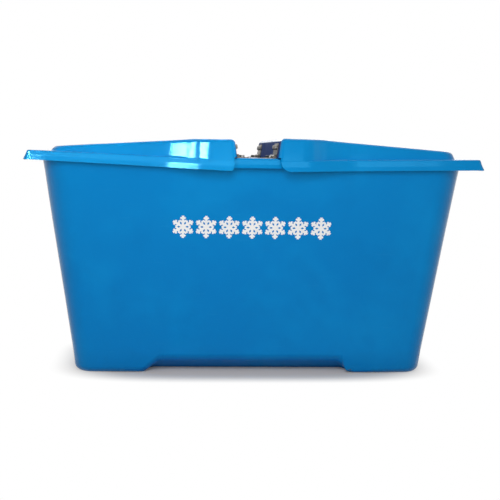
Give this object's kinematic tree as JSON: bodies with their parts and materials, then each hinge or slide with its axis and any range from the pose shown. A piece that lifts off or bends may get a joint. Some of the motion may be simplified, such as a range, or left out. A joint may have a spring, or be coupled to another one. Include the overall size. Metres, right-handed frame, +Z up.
{
  "type": "grit salt bin",
  "caption": "Long tapered tub on low feet with a bridge across its mouth and lids hinged on the bridge, for storing road grit or salt.",
  "frame": {"origin": "on the ground under the middle of the tub, between the two lids", "axes": "+X to the right along the bin's length, seen from the front; +Y to the back; +Z up"},
  "size_m": [1.5049, 0.8492, 0.8003],
  "materials": {
    "gel_coat": "glossy blue gel coat on glass-fibre laminate",
    "hinge_steel": "satin stainless steel hinge leaves and pins",
    "fastener_steel": "plain zinc-plated steel",
    "white_marking": "flat white vinyl on the front"
  },
  "bodies": {
    "base": {"tub": "gel_coat", "centre_bridge": "gel_coat", "front_left_hinge_bridge_leaf": "hinge_steel", "front_right_hinge_bridge_leaf": "hinge_steel", "rear_left_hinge_bridge_leaf": "hinge_steel", "rear_right_hinge_bridge_leaf": "hinge_steel", "front_left_hinge_pin": "hinge_steel", "front_right_hinge_pin": "hinge_steel", "rear_left_hinge_pin": "hinge_steel", "rear_right_hinge_pin": "hinge_steel", "bridge_hinge_bolts": "fastener_steel", "bridge_hinge_washers": "fastener_steel", "bridge_hinge_nuts": "fastener_steel", "rim_bolts": "fastener_steel", "rim_washers": "fastener_steel", "rim_nuts": "fastener_steel"},
    "left_lid_assembly": {"left_lid": "gel_coat", "front_left_hinge_lid_leaf": "hinge_steel", "rear_left_hinge_lid_leaf": "hinge_steel", "left_lid_hinge_bolts": "fastener_steel", "left_lid_hinge_washers": "fastener_steel", "left_lid_hinge_nuts": "fastener_steel"},
    "right_lid_assembly": {"right_lid": "gel_coat", "front_right_hinge_lid_leaf": "hinge_steel", "rear_right_hinge_lid_leaf": "hinge_steel", "right_lid_hinge_bolts": "fastener_steel", "right_lid_hinge_washers": "fastener_steel", "right_lid_hinge_nuts": "fastener_steel"}
  },
  "joints": [
    {"name": "left_lid_hinge", "type": "hinge", "parent": "base", "child": "left_lid_assembly", "pos_m": [-0.06062, 0, 0.741], "axis": [0, 1, 0], "range_deg": [0, 90]},
    {"name": "right_lid_hinge", "type": "hinge", "parent": "base", "child": "right_lid_assembly", "pos_m": [0.06062, 0, 0.741], "axis": [0, -1, 0], "range_deg": [0, 90]}
  ]
}
